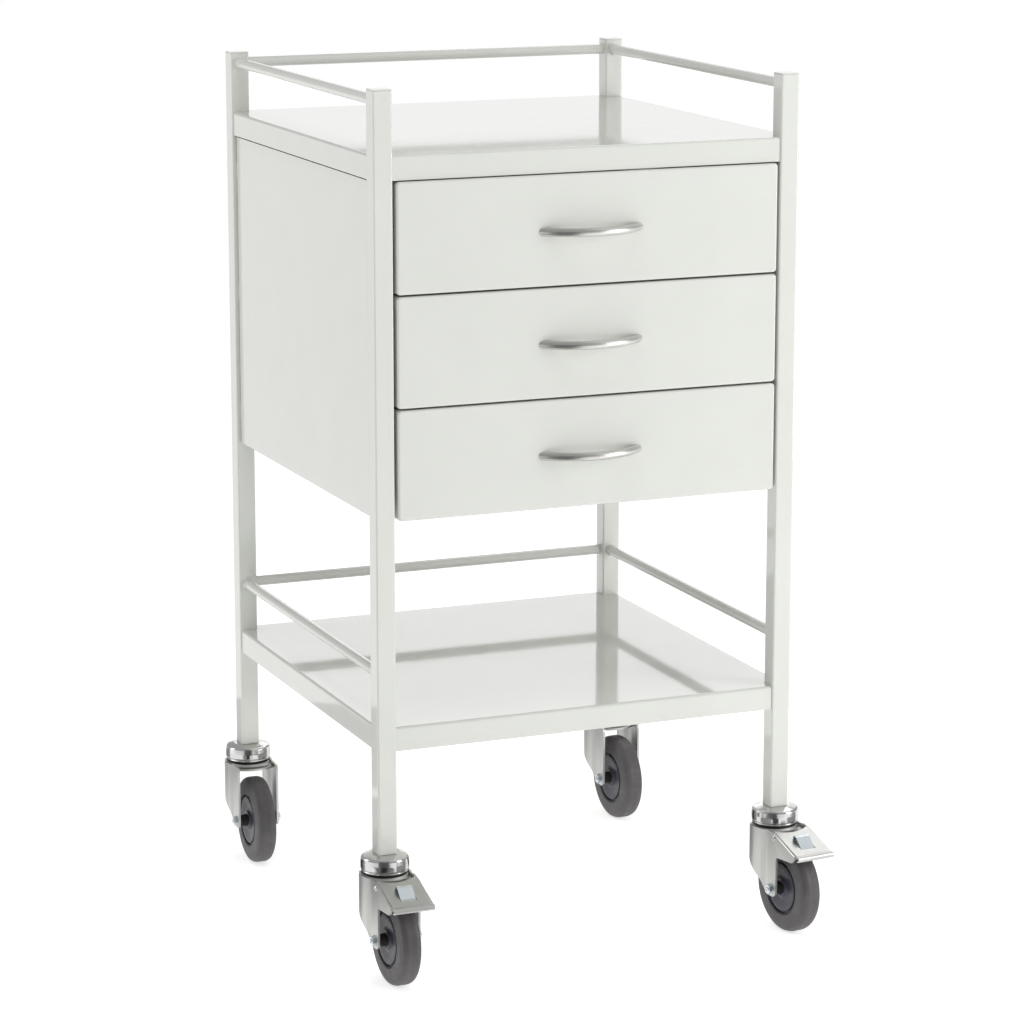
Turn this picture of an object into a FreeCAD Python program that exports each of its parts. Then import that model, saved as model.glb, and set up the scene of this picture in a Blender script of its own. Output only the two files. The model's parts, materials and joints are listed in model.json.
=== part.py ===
import FreeCAD, Part
import math
import os

# Rolling salon trolley: a frame of square tube with two folded sheet trays, three drawers on
# telescopic runners and four swivel casters, of which the front two have foot brakes.
# Millimetres, X to the right, Y to the back, Z up from the floor. The model is drawn round the
# middle of the four posts. save() then moves it back by FRAME_Y, because the casters trail
# forward, so that the origin is the middle of the whole footprint on the floor.

# Frame
WIDTH = 500.0
DEPTH = 500.0
HEIGHT = 979.0
TUBE = 22.0
TUBE_WALL = 1.2
TUBE_CORNER = 2.0
POST_BOTTOM = 141.0
CAP_PLATE = 1.5
CAP_PLUG = 12.0
PLUG_FIT = 0.1
FRAME_Y = 31.0

# Guard rails
RAIL_RADIUS = 6.0
UPPER_RAIL_Z = 966.0
LOWER_RAIL_Z = 341.0

# Folded trays
SHEET = 1.2
TRAY_TOP = 909.0
SHELF_TOP = 284.0
TRAY_FLANGE = 27.0
TRAY_INSET = 2.0
BEND_RADIUS = 3.0

# Case round the drawers
PANEL_INSET = 5.0
PANEL_TOP = 881.0
PANEL_BOTTOM = 515.0
PANEL_GAP = 1.5
PANEL_RETURN = 12.0
TAB_HEIGHT = 20.0
TAB_MARGIN = 30.0

# Drawers, counted from the top
DRAWER_NAMES = ("top", "middle", "bottom")
DRAWER_TOP = 880.8
DRAWER_PITCH = 122.9
DRAWER_GAP = 1.9
FRONT_SIDE_GAP = 3.6
FRONT_PROUD = 1.5
FRONT_THICK = 18.0
FRONT_CORNER = 4.0
FRONT_EDGE = 2.5
FRONT_LIP = 16.0
BOX_HALF_WIDTH = 215.0
BOX_BACK = 215.0
BOX_LIFT = 8.0
BOX_HEIGHT = 95.0
BOX_WALL = 1.0
BOX_HEM = 3.0
BOX_HEM_HEIGHT = 6.0

# Handles
HANDLE_BAR = 4.75
HANDLE_HALF_CHORD = 55.0
HANDLE_REACH = 22.0
HANDLE_DROP = 61.5
HANDLE_SCREW_X = 53.0
SCREW_RADIUS = 2.0
SCREW_HEAD_RADIUS = 4.0
SCREW_HEAD = 2.4
SCREW_REACH = 4.2

# Runners: heights are half-heights from the middle line of a runner
RUNNER_LIFT = 30.0
RUNNER_FRONT = -231.0
RUNNER_BACK = 210.0
RUNNER_SHEET = 1.2
OUTER_RUNNER_HALF = 18.0
OUTER_RUNNER_DEPTH = 7.0
MIDDLE_RUNNER_HALF = 16.2
MIDDLE_RUNNER_OUT = 225.6
MIDDLE_RUNNER_IN = 218.6
INNER_RUNNER_HALF = 12.0
INNER_RUNNER_OUT = 222.8
BRACKET_HALF = 17.0

# Casters, drawn with the swivel axis at the origin and the wheel trailing towards -Y
CASTERS = {
    "front_left": (-1, -1, 1.0),
    "front_right": (1, -1, 6.0),
    "back_left": (-1, 1, -2.0),
    "back_right": (1, 1, 2.0),
}
BRAKED = ("front_left", "front_right")
TRAIL = 32.0
WHEEL_RADIUS = 52.0
TYRE_HALF = 12.0
TREAD_HALF = 6.5
TREAD_BULGE = (10.4, 49.9)
TYRE_INNER = 31.45
TYRE_SHOULDER = 44.5
HUB_RADIUS = 31.4
HUB_HALF = 11.5
HUB_BOSS_RADIUS = 10.0
GROOVE_IN = 28.2
GROOVE_OUT = 30.6
GROOVE_DEPTH = 3.0
AXLE_RADIUS = 4.0
RUNNING_FIT = 0.05
SPACER_RADIUS = 7.0
AXLE_HEAD_RADIUS = 6.5
AXLE_HEAD = 5.0
AXLE_RECESS = 1.0
SPACER_FIT = 0.3

# Swivel head
STEM_RADIUS = 5.0
STEM_HEAD_RADIUS = 9.0
STEM_HEAD_TOP = 116.2
STEM_HEAD_BOTTOM = 113.7
STEM_PLUG = 40.0
CAP_RADIUS = 27.2
CAP_BOTTOM = 122.0
CAP_SHOULDER = 134.5
CAP_ROUND = 4.0
CAP_FLAT_RADIUS = 17.0
CAP_WALL = 1.7
SEAL_IN = 23.5
SEAL_OUT = 26.5
SEAL_BOTTOM = 119.3
RACE_RADIUS = 22.0
RACE_BOTTOM = 124.0
RACE_SHEET = 2.0
RACE_SLEEVE = 8.0
CAGE_IN = 16.5
CAGE_OUT = 21.5
CAGE_BOTTOM = 121.0
CAGE_TOP = 122.2
BALL_RADIUS = 2.2
BALL_COUNT = 12

# Fork: side outlines are (reach towards the trailing side, height)
FORK_SHEET = 2.5
FORK_RADIUS = 28.8
FORK_FLAT = 25.2
FORK_BACK = -16.0
FORK_FRONT = 42.5
CROWN_TOP = 119.0
WEB_TOP = 116.0
WEB_FRONT_RADIUS = 36.0
BOSS_FOOT = 28.0
BOSS_HEAD = 25.0
BOSS_HOLLOW = 22.0
LEG_TOP = 121.5
LEG_REAR = [(-17.0, 80.0), (-17.0, CROWN_TOP), (16.0, CROWN_TOP), (24.0, LEG_TOP)]
LEG_FOOT = [(FORK_FRONT, 48.5), (38.0, 44.0), (24.0, 44.0), (15.0, 56.5)]
LEG_PLAIN = [(FORK_FRONT, LEG_TOP)]
LEG_WING = [(33.0, LEG_TOP), (82.0, 106.5), (75.5, 95.0), (FORK_FRONT, 92.5)]
WING_REACH = 84.0

# Foot brake
PIVOT_REACH = 38.0
PIVOT_Z = 114.5
PIVOT_RADIUS = 2.0
PIVOT_HEAD_RADIUS = 3.2
PIVOT_HEAD = 1.2
PEDAL_TRAVEL = 12.0
PEDAL_HALF = 22.2
PEDAL_SHEET = 2.0
PLATE_BACK = (33.0, 120.7)
PLATE_FRONT = (83.0, 103.5)
PEDAL_NOTCH = 40.0
EAR_RADIUS = 4.3
EAR_FOOT = [(44.0, 110.5), (70.0, 103.0)]
LIP_HALF = 24.0
LIP = [
    (82.5, 101.7), (82.5, 104.3), (87.5, 104.9), (89.3, 102.5),
    (89.3, 98.7), (87.2, 98.7), (87.2, 101.7),
]
WINDOW = (52.0, 72.5)
WINDOW_HALF = 9.5
TAB_HALF = 8.8
TAB = [
    (70.0, 105.5), (72.2, 105.9), (55.2, 119.0), (52.8, 117.6),
    (52.8, 112.2), (54.0, 112.2), (54.0, 116.8), (55.4, 117.4),
]
SHOE = (50.0, 71.0)
SHOE_HALF = 8.0
SHOE_BOTTOM = 93.5
SHOE_CLEARANCE = 0.4

HALF_W = WIDTH / 2
HALF_D = DEPTH / 2
POST_X = HALF_W - TUBE / 2
POST_Y = HALF_D - TUBE / 2
BAY_X = HALF_W - TUBE
BAY_Y = HALF_D - TUBE
FRONT_FACE = -HALF_D - FRONT_PROUD
FRONT_REAR = FRONT_FACE + FRONT_THICK
FORK_INNER = FORK_FLAT - FORK_SHEET
MARGIN = 5.0
NEAR = 1e-6

Vector = FreeCAD.Vector
ORIGIN = Vector(0, 0, 0)
X_AXIS = Vector(1, 0, 0)
Y_AXIS = Vector(0, 1, 0)
Z_AXIS = Vector(0, 0, 1)


def box(x0, x1, y0, y1, z0, z1):
    return Part.makeBox(x1 - x0, y1 - y0, z1 - z0, Vector(x0, y0, z0))


def rod(radius, start, end):
    """Round bar between two points."""
    axis = end - start
    return Part.makeCylinder(radius, axis.Length, start, axis)


def cross_rod(radius, x0, x1, y, z):
    return rod(radius, Vector(x0, y, z), Vector(x1, y, z))


def ring(inner, outer, z0, z1):
    """Upright ring round the Z axis."""
    whole = Part.makeCylinder(outer, z1 - z0, Vector(0, 0, z0))
    return whole.cut(Part.makeCylinder(inner, z1 - z0, Vector(0, 0, z0)))


def moved(shape, x=0.0, y=0.0, z=0.0):
    copy = shape.copy()
    copy.translate(Vector(x, y, z))
    return copy


def turned(shape, degrees, axis=Z_AXIS, centre=ORIGIN):
    copy = shape.copy()
    copy.rotate(centre, axis, degrees)
    return copy


def left_and_right(shape):
    return [shape, shape.mirror(ORIGIN, X_AXIS)]


def edges_along(shape, axis):
    """Straight edges of a shape that run along an axis."""
    found = []
    for edge in shape.Edges:
        if abs(abs(edge.tangentAt(edge.FirstParameter).dot(axis)) - 1) < NEAR:
            found.append(edge)
    return found


def edges_at(shape, axis, place):
    """Edges that lie whole in the plane across an axis at a place."""
    found = []
    for edge in shape.Edges:
        ends = [vertex.Point.dot(axis) for vertex in edge.Vertexes]
        if all(abs(end - place) < NEAR for end in ends):
            found.append(edge)
    return found


def polygon_face(points):
    return Part.Face(Part.makePolygon(points + points[:1]))


def side_prism(outline, x0, x1):
    """Prism across X from an outline of (reach, height), where reach runs towards -Y."""
    face = polygon_face([Vector(x0, -reach, z) for reach, z in outline])
    return face.extrude(Vector(x1 - x0, 0, 0))


def turned_profile(points, axis=Z_AXIS):
    """Solid of revolution from points in the plane that holds the axis."""
    face = polygon_face(points)
    return face.revolve(ORIGIN, axis, 360)


def save(name, solids):
    """Writes one node, moved so that the origin is the middle of the footprint."""
    parts = [moved(solid, y=FRAME_Y) for solid in solids]
    shape = parts[0] if len(parts) == 1 else Part.makeCompound(parts)
    shape.exportStep(os.path.join("parts", name + ".step"))


# ---- frame ----

def square_bar(half, corner, z0, z1):
    bar = box(-half, half, -half, half, z0, z1)
    return bar.makeFillet(corner, edges_along(bar, Z_AXIS))


def make_post():
    top = HEIGHT - CAP_PLATE
    outer = square_bar(TUBE / 2, TUBE_CORNER, POST_BOTTOM, top)
    bore = square_bar(TUBE / 2 - TUBE_WALL, TUBE_CORNER - TUBE_WALL, POST_BOTTOM, top)
    return outer.cut(bore)


def make_post_cap():
    half = TUBE / 2 - TUBE_WALL - PLUG_FIT
    seat = HEIGHT - CAP_PLATE
    plate = square_bar(TUBE / 2, TUBE_CORNER, seat, HEIGHT)
    plug = square_bar(half, TUBE_CORNER - TUBE_WALL, seat - CAP_PLUG, seat)
    return plate.fuse(plug).removeSplitter()


def at_posts(shape):
    return [moved(shape, x * POST_X, y * POST_Y) for x, y, _ in CASTERS.values()]


def make_rails(z):
    """Back, left and right rail between the inner faces of the posts."""
    back = cross_rod(RAIL_RADIUS, -BAY_X, BAY_X, POST_Y, z)
    right = rod(RAIL_RADIUS, Vector(POST_X, -BAY_Y, z), Vector(POST_X, BAY_Y, z))
    left = right.mirror(ORIGIN, X_AXIS)
    return {"back": back, "left": left, "right": right}


def make_tray(top):
    """Sheet with its four edges folded down, notched round the posts."""
    half_x = HALF_W - TRAY_INSET
    half_y = HALF_D - TRAY_INSET
    low = top - TRAY_FLANGE
    outer = box(-half_x, half_x, -half_y, half_y, low, top)
    outer = outer.makeFillet(BEND_RADIUS, edges_at(outer, Z_AXIS, top))
    in_x = half_x - SHEET
    in_y = half_y - SHEET
    hollow = box(-in_x, in_x, -in_y, in_y, low - MARGIN, top - SHEET)
    hollow = hollow.makeFillet(BEND_RADIUS - SHEET, edges_at(hollow, Z_AXIS, top - SHEET))
    tray = outer.cut(hollow)
    for x in (-1, 1):
        for y in (-1, 1):
            notch = box(0, TUBE, 0, TUBE, low - MARGIN, top + MARGIN)
            corner_x = BAY_X if x > 0 else -HALF_W
            corner_y = BAY_Y if y > 0 else -HALF_D
            tray = tray.cut(moved(notch, corner_x, corner_y))
    return tray


def make_panel(half_span, face):
    """Case panel across X with its outer face at +Y, folded ends and welding tabs."""
    half = half_span - PANEL_GAP
    inside = face - SHEET
    outer = box(-half, half, face - PANEL_RETURN, face, PANEL_BOTTOM, PANEL_TOP)
    hollow = box(-half + SHEET, half - SHEET, face - PANEL_RETURN, inside, PANEL_BOTTOM, PANEL_TOP)
    panel = outer.cut(hollow)
    low = PANEL_BOTTOM + TAB_MARGIN
    high = PANEL_TOP - TAB_MARGIN - TAB_HEIGHT
    for z in (low, (low + high) / 2, high):
        tab = box(half - SHEET, half_span, inside, face, z, z + TAB_HEIGHT)
        for side in left_and_right(tab):
            panel = panel.fuse(side)
    return panel.removeSplitter()


# ---- runners ----

def channel(x_web, x_open, half, y0, y1, sheet):
    """Upright channel along Y: a web at x_web and two flanges that reach to x_open."""
    low = min(x_web, x_open)
    high = max(x_web, x_open)
    bar = box(low, high, y0, y1, -half, half)
    if x_web > x_open:
        hollow = box(x_open, x_web - sheet, y0, y1, -half + sheet, half - sheet)
    else:
        hollow = box(x_web + sheet, x_open, y0, y1, -half + sheet, half - sheet)
    return bar.cut(hollow)


def runner_height(index):
    return drawer_bottom(index) + BOX_LIFT + RUNNER_LIFT


def make_bracket():
    wall = HALF_W - PANEL_INSET - SHEET
    half = BAY_Y - PANEL_GAP - SHEET
    return channel(BAY_X, wall, BRACKET_HALF, -half, half, SHEET)


def make_outer_runner():
    inner = BAY_X - OUTER_RUNNER_DEPTH
    return channel(BAY_X, inner, OUTER_RUNNER_HALF, RUNNER_FRONT, RUNNER_BACK, RUNNER_SHEET)


def make_middle_runner():
    half = MIDDLE_RUNNER_HALF
    return channel(MIDDLE_RUNNER_OUT, MIDDLE_RUNNER_IN, half, RUNNER_FRONT, RUNNER_BACK, RUNNER_SHEET)


def make_inner_runner():
    half = INNER_RUNNER_HALF
    return channel(BOX_HALF_WIDTH, INNER_RUNNER_OUT, half, RUNNER_FRONT, RUNNER_BACK, RUNNER_SHEET)


def runner_pair(shape, index):
    return left_and_right(moved(shape, z=runner_height(index)))


# ---- drawers ----

def drawer_top(index):
    return DRAWER_TOP - index * DRAWER_PITCH


def drawer_bottom(index):
    return drawer_top(index) - DRAWER_PITCH + DRAWER_GAP


def screw_places():
    return [-HANDLE_SCREW_X, HANDLE_SCREW_X]


def handle_height(index):
    return drawer_top(index) - HANDLE_DROP


def screw_hole(x, z, depth):
    start = Vector(x, FRONT_FACE - depth, z)
    return rod(SCREW_RADIUS + PLUG_FIT, start, Vector(x, FRONT_FACE + MARGIN, z))


def make_drawer_front(index):
    """Folded pan, open at the back except for a lip down each side."""
    half = BAY_X - FRONT_SIDE_GAP
    low = drawer_bottom(index)
    top = drawer_top(index)
    outer = box(-half, half, FRONT_FACE, FRONT_REAR, low, top)
    outer = outer.makeFillet(FRONT_CORNER, edges_along(outer, Y_AXIS))
    outer = outer.makeFillet(FRONT_EDGE, edges_at(outer, Y_AXIS, FRONT_FACE))
    in_x = half - SHEET
    hollow = box(-in_x, in_x, FRONT_FACE + SHEET, FRONT_REAR - SHEET, low + SHEET, top - SHEET)
    hollow = hollow.makeFillet(FRONT_CORNER - SHEET, edges_along(hollow, Y_AXIS))
    mouth = half - FRONT_LIP
    opening = box(-mouth, mouth, FRONT_REAR - FRONT_THICK / 2, FRONT_REAR, low + SHEET, top - SHEET)
    pan = outer.cut(hollow).cut(opening)
    for x in screw_places():
        pan = pan.cut(screw_hole(x, handle_height(index), MARGIN))
    return pan


def make_drawer_box(index):
    low = drawer_bottom(index) + BOX_LIFT
    top = low + BOX_HEIGHT
    hem_z = top - BOX_HEM_HEIGHT
    half = BOX_HALF_WIDTH
    outer = box(-half, half, FRONT_REAR, BOX_BACK, low, top)

    def hollow(wall, z0, z1):
        return box(-half + wall, half - wall, FRONT_REAR + wall, BOX_BACK - wall, z0, z1)

    lower = hollow(BOX_WALL, low + BOX_WALL, hem_z)
    upper = hollow(BOX_HEM, hem_z, top + MARGIN)
    return outer.cut(lower).cut(upper)


def make_handle(index):
    """Round bar bent to an arc, cut off flat where it meets the drawer front."""
    reach = HANDLE_REACH
    sweep = (HANDLE_HALF_CHORD ** 2 + reach ** 2) / (2 * reach)
    z = handle_height(index)
    centre = Vector(0, FRONT_FACE - reach + sweep, z)
    bow = Part.makeTorus(sweep, HANDLE_BAR, centre, Z_AXIS)
    room = reach + HANDLE_BAR + MARGIN
    front = box(-HALF_W, HALF_W, FRONT_FACE - room, FRONT_FACE, z - MARGIN, z + MARGIN)
    bow = bow.common(front)
    for x in screw_places():
        start = Vector(x, FRONT_FACE - SCREW_REACH - PLUG_FIT, z)
        bow = bow.cut(rod(SCREW_RADIUS + PLUG_FIT, start, Vector(x, FRONT_FACE, z)))
    return bow


def make_handle_screws(index):
    z = handle_height(index)
    seat = FRONT_FACE + SHEET
    screws = []
    for x in screw_places():
        shank = rod(SCREW_RADIUS, Vector(x, FRONT_FACE - SCREW_REACH, z), Vector(x, seat, z))
        head = rod(SCREW_HEAD_RADIUS, Vector(x, seat, z), Vector(x, seat + SCREW_HEAD, z))
        screws.append(shank.fuse(head))
    return screws


# ---- swivel heads ----

def make_stem():
    half = TUBE / 2 - TUBE_WALL - PLUG_FIT
    plug = square_bar(half, TUBE_CORNER - TUBE_WALL, POST_BOTTOM, POST_BOTTOM + STEM_PLUG)
    shank = rod(STEM_RADIUS, Vector(0, 0, STEM_HEAD_BOTTOM), Vector(0, 0, POST_BOTTOM))
    height = STEM_HEAD_TOP - STEM_HEAD_BOTTOM
    head = Part.makeCylinder(STEM_HEAD_RADIUS, height, Vector(0, 0, STEM_HEAD_BOTTOM))
    return plug.fuse(shank).fuse(head).removeSplitter()


def make_swivel_cap():
    """Pressed cup, open below, with a sloping top and a rounded shoulder."""
    bore = STEM_RADIUS + RUNNING_FIT
    slope_end = CAP_RADIUS - CAP_ROUND
    slope_z = CAP_SHOULDER + CAP_ROUND
    lean = CAP_ROUND * (1 - math.sqrt(0.5))
    inner = CAP_RADIUS - CAP_WALL

    def point(r, z):
        return Vector(r, 0, z)

    shoulder = Part.Arc(point(slope_end, slope_z),
                        point(CAP_RADIUS - lean, slope_z - lean),
                        point(CAP_RADIUS, CAP_SHOULDER)).toShape()
    outline = [
        point(CAP_RADIUS, CAP_SHOULDER), point(CAP_RADIUS, CAP_BOTTOM), point(inner, CAP_BOTTOM),
        point(inner, CAP_SHOULDER - CAP_WALL), point(CAP_FLAT_RADIUS, POST_BOTTOM - CAP_WALL),
        point(bore, POST_BOTTOM - CAP_WALL), point(bore, POST_BOTTOM),
        point(CAP_FLAT_RADIUS, POST_BOTTOM), point(slope_end, slope_z),
    ]
    wire = Part.Wire([shoulder] + Part.makePolygon(outline).Edges)
    return Part.Face(wire).revolve(ORIGIN, Z_AXIS, 360)


def make_bearing():
    """Race with its sleeve, and a cage of balls under it."""
    bore = STEM_RADIUS + RUNNING_FIT
    race = ring(bore, RACE_RADIUS, RACE_BOTTOM, RACE_BOTTOM + RACE_SHEET)
    sleeve = ring(bore, RACE_SLEEVE, RACE_BOTTOM, POST_BOTTOM - CAP_WALL)
    cage = ring(CAGE_IN, CAGE_OUT, CAGE_BOTTOM, CAGE_TOP)
    middle = Vector((CAGE_IN + CAGE_OUT) / 2, 0, (CAGE_BOTTOM + CAGE_TOP) / 2)
    ball = Part.makeSphere(BALL_RADIUS, middle)
    balls = [turned(ball, 360 / BALL_COUNT * step) for step in range(BALL_COUNT)]
    return [race.fuse(sleeve).removeSplitter(), cage.fuse(balls)]


# ---- casters ----

def leg_plan(reach):
    """Plan of one fork leg: part of a round wall that runs on as a flat one to the reach."""
    inner_radius = FORK_RADIUS - FORK_SHEET
    back_angle = math.atan2(math.sqrt(FORK_RADIUS ** 2 - FORK_BACK ** 2), FORK_BACK)

    def point(x, forward):
        return Vector(x, -forward, 0)

    def on_circle(radius):
        return point(radius * math.sin(back_angle), radius * math.cos(back_angle))

    outer_bend = point(FORK_FLAT, math.sqrt(FORK_RADIUS ** 2 - FORK_FLAT ** 2))
    inner_bend = point(FORK_INNER, math.sqrt(inner_radius ** 2 - FORK_INNER ** 2))
    outer_arc = Part.Arc(on_circle(FORK_RADIUS), point(FORK_RADIUS, 0), outer_bend).toShape()
    inner_arc = Part.Arc(inner_bend, point(inner_radius, 0), on_circle(inner_radius)).toShape()
    end = Part.makePolygon([outer_bend, point(FORK_FLAT, reach), point(FORK_INNER, reach), inner_bend])
    back = Part.makePolygon([on_circle(inner_radius), on_circle(FORK_RADIUS)])
    return Part.Face(Part.Wire([outer_arc] + end.Edges + [inner_arc] + back.Edges))


def make_leg(braked):
    outline = LEG_REAR + (LEG_WING if braked else LEG_PLAIN) + LEG_FOOT
    wall = leg_plan(WING_REACH if braked else FORK_FRONT).extrude(Vector(0, 0, LEG_TOP))
    leg = wall.common(side_prism(outline, 0, FORK_RADIUS + MARGIN))
    hole = AXLE_RADIUS + RUNNING_FIT
    leg = leg.cut(cross_rod(hole, 0, FORK_RADIUS, -TRAIL, WHEEL_RADIUS))
    if braked:
        hole = PIVOT_RADIUS + RUNNING_FIT
        leg = leg.cut(cross_rod(hole, 0, FORK_RADIUS, -PIVOT_REACH, PIVOT_Z))
    return leg


def make_crown():
    """Bridge between the legs, with a raised boss that takes the swivel bearing."""
    web_low = WEB_TOP - FORK_SHEET
    disc = Part.makeCylinder(FORK_RADIUS - FORK_SHEET / 2, FORK_SHEET, Vector(0, 0, web_low))
    tongue = Part.makeCylinder(WEB_FRONT_RADIUS, FORK_SHEET, Vector(0, 0, web_low))
    width = FORK_INNER + FORK_SHEET / 2
    tongue = tongue.common(box(-width, width, -WEB_FRONT_RADIUS, 0, web_low, WEB_TOP))
    boss = Part.makeCone(BOSS_FOOT - FORK_SHEET, BOSS_HEAD, CROWN_TOP - WEB_TOP, Vector(0, 0, WEB_TOP))
    hollow = Part.makeCylinder(BOSS_HOLLOW, CROWN_TOP - FORK_SHEET - web_low, Vector(0, 0, web_low))
    bore = Part.makeCylinder(STEM_RADIUS + RUNNING_FIT, CROWN_TOP - web_low, Vector(0, 0, web_low))
    return disc.fuse([tongue, boss]).cut(hollow).cut(bore)


def make_fork(braked):
    fork = make_crown().fuse(left_and_right(make_leg(braked)))
    return fork.removeSplitter()


def make_axle():
    """Bolt with a round head, its nut and the two spacers between fork and wheel."""
    face = FORK_FLAT + AXLE_HEAD
    shank_end = face - AXLE_RECESS
    bore = AXLE_RADIUS + RUNNING_FIT

    def at_axle(radius, x0, x1):
        return cross_rod(radius, x0, x1, -TRAIL, WHEEL_RADIUS)

    nut = at_axle(AXLE_HEAD_RADIUS, FORK_FLAT, face)
    nut = nut.makeFillet(AXLE_HEAD / 2, edges_at(nut, X_AXIS, face))
    bolt = nut.mirror(ORIGIN, X_AXIS).fuse(at_axle(AXLE_RADIUS, -FORK_FLAT, shank_end))
    near = TYRE_HALF + SPACER_FIT
    spacer = at_axle(SPACER_RADIUS, near, FORK_INNER).cut(at_axle(bore, near, FORK_INNER))
    return [bolt, nut.cut(at_axle(bore, FORK_FLAT, shank_end))] + left_and_right(spacer)


def at_wheel(shape):
    return moved(shape, y=-TRAIL, z=WHEEL_RADIUS)


def make_tyre():
    """Tyre with flat sides, round shoulders and a flat tread."""

    def point(x, r):
        return Vector(x, 0, r)

    shoulder = [point(TREAD_HALF, WHEEL_RADIUS), point(*TREAD_BULGE), point(TYRE_HALF, TYRE_SHOULDER)]
    right = Part.Arc(*shoulder).toShape()
    left = right.mirror(ORIGIN, X_AXIS)
    walls = Part.makePolygon([point(TYRE_HALF, TYRE_SHOULDER), point(TYRE_HALF, TYRE_INNER),
                              point(-TYRE_HALF, TYRE_INNER), point(-TYRE_HALF, TYRE_SHOULDER)])
    tread = Part.makePolygon([point(-TREAD_HALF, WHEEL_RADIUS), point(TREAD_HALF, WHEEL_RADIUS)])
    face = Part.Face(Part.Wire([right] + walls.Edges + [left] + tread.Edges))
    return at_wheel(face.revolve(ORIGIN, X_AXIS, 360))


def make_hub():
    """Wheel centre with a groove near the rim of each face and a boss round the bore."""
    bore = AXLE_RADIUS + RUNNING_FIT
    floor = HUB_HALF - GROOVE_DEPTH
    half = [
        (TYRE_HALF, bore), (TYRE_HALF, HUB_BOSS_RADIUS), (HUB_HALF, HUB_BOSS_RADIUS),
        (HUB_HALF, GROOVE_IN), (floor, GROOVE_IN), (floor, GROOVE_OUT),
        (HUB_HALF, GROOVE_OUT), (HUB_HALF, HUB_RADIUS),
    ]
    other = [(-x, r) for x, r in reversed(half)]
    points = [Vector(x, 0, r) for x, r in half + other]
    return at_wheel(turned_profile(points, X_AXIS))


# ---- foot brakes ----

def plate_height(reach):
    """Height of the pedal plate's upper face at a reach."""
    (back, back_z), (front, front_z) = PLATE_BACK, PLATE_FRONT
    return back_z + (front_z - back_z) * (reach - back) / (front - back)


def plate_band(reach0, reach1, above, below):
    """Outline of a band that follows the plate, from above it to below it."""
    return [
        (reach0, plate_height(reach0) + above), (reach1, plate_height(reach1) + above),
        (reach1, plate_height(reach1) - below), (reach0, plate_height(reach0) - below),
    ]


def make_shoe():
    """Block under the plate whose face meets the tyre when the pedal is down."""
    back, front = SHOE
    outline = [(back, plate_height(back) - PEDAL_SHEET), (front, plate_height(front) - PEDAL_SHEET),
               (front, SHOE_BOTTOM), (back, SHOE_BOTTOM)]
    block = side_prism(outline, -SHOE_HALF, SHOE_HALF)
    room = cross_rod(WHEEL_RADIUS + SHOE_CLEARANCE, -TYRE_HALF, TYRE_HALF, -TRAIL, WHEEL_RADIUS)
    room = turned(room, -PEDAL_TRAVEL, X_AXIS, Vector(0, -PIVOT_REACH, PIVOT_Z))
    return block.cut(room)


def make_pedal():
    back, front = PLATE_BACK[0], PLATE_FRONT[0]
    plate = side_prism(plate_band(back, front, 0, PEDAL_SHEET), -PEDAL_HALF, PEDAL_HALF)
    notch = Part.makeCylinder(PEDAL_NOTCH, HEIGHT)
    window = side_prism(plate_band(*WINDOW, MARGIN, MARGIN), -WINDOW_HALF, WINDOW_HALF)
    ear_in = PEDAL_HALF - PEDAL_SHEET
    ear_outline = [(PIVOT_REACH, plate_height(PIVOT_REACH) - PEDAL_SHEET),
                   (front - PEDAL_SHEET, plate_height(front - PEDAL_SHEET) - PEDAL_SHEET)]
    ear_outline += reversed(EAR_FOOT)
    ear_outline.append((PIVOT_REACH, PIVOT_Z))
    ear = side_prism(ear_outline, ear_in, PEDAL_HALF)
    ear = ear.fuse(cross_rod(EAR_RADIUS, ear_in, PEDAL_HALF, -PIVOT_REACH, PIVOT_Z))
    ear = ear.cut(cross_rod(PIVOT_RADIUS + RUNNING_FIT, ear_in, PEDAL_HALF, -PIVOT_REACH, PIVOT_Z))
    lip = side_prism(LIP, -LIP_HALF, LIP_HALF)
    tab = side_prism(TAB, -TAB_HALF, TAB_HALF)
    pedal = plate.cut(notch).cut(window).fuse([lip, tab, make_shoe()] + left_and_right(ear))
    return pedal.removeSplitter()


def make_pedal_pivots():
    inner = PEDAL_HALF - PEDAL_SHEET
    shank = cross_rod(PIVOT_RADIUS, inner, FORK_FLAT, -PIVOT_REACH, PIVOT_Z)
    head = cross_rod(PIVOT_HEAD_RADIUS, FORK_FLAT, FORK_FLAT + PIVOT_HEAD, -PIVOT_REACH, PIVOT_Z)
    return left_and_right(shank.fuse(head))


# ---- the whole trolley ----

def save_frame():
    for name, post in zip(CASTERS, at_posts(make_post())):
        save("post_" + name, [post])
    save("post_caps", at_posts(make_post_cap()))
    for level, z in (("upper", UPPER_RAIL_Z), ("lower", LOWER_RAIL_Z)):
        for side, rail in make_rails(z).items():
            save(level + "_rail_" + side, [rail])
    save("top_tray", [make_tray(TRAY_TOP)])
    save("lower_shelf", [make_tray(SHELF_TOP)])
    side_panel = make_panel(BAY_Y, HALF_W - PANEL_INSET)
    save("side_panel_left", [turned(side_panel, 90)])
    save("side_panel_right", [turned(side_panel, -90)])
    save("back_panel", [make_panel(BAY_X, HALF_D - PANEL_INSET)])
    brackets = []
    outers = []
    for index in range(len(DRAWER_NAMES)):
        brackets += runner_pair(make_bracket(), index)
        outers += runner_pair(make_outer_runner(), index)
    save("runner_brackets", brackets)
    save("outer_runners", outers)


def save_drawers():
    for index, name in enumerate(DRAWER_NAMES):
        save("drawer_front_" + name, [make_drawer_front(index)])
        save("drawer_box_" + name, [make_drawer_box(index)])
        save("drawer_handle_" + name, [make_handle(index)])
        save("handle_screws_" + name, make_handle_screws(index))
        save("inner_runners_" + name, runner_pair(make_inner_runner(), index))
        save("middle_runners_" + name, runner_pair(make_middle_runner(), index))


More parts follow.
